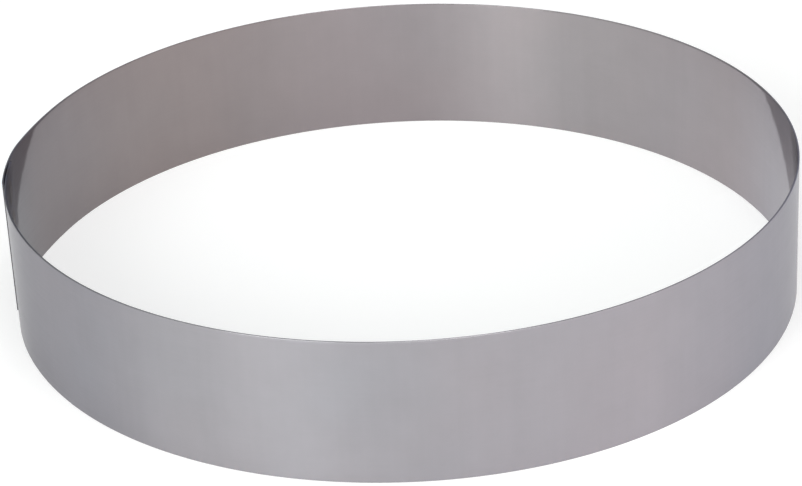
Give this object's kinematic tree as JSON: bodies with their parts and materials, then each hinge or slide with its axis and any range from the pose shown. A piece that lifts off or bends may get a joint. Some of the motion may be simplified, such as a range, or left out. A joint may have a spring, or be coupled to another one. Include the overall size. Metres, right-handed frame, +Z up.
{
  "type": "pastry ring",
  "caption": "Open round pastry ring: a thin stainless-steel strip rolled to a hoop, its ends lapped and spot-welded.",
  "frame": {"origin": "on the hoop's axis, at the plane of its bottom rim", "axes": "+Z up along the hoop's axis, from the bottom rim to the top rim; the lap seam is centred on -X; +Y points away from the camera of the picture"},
  "size_m": [0.2424, 0.2412, 0.044],
  "materials": {
    "steel": "satin mill-rolled stainless steel, faint grain along the strip"
  },
  "bodies": {
    "root": {"band": "steel"}
  },
  "joints": []
}
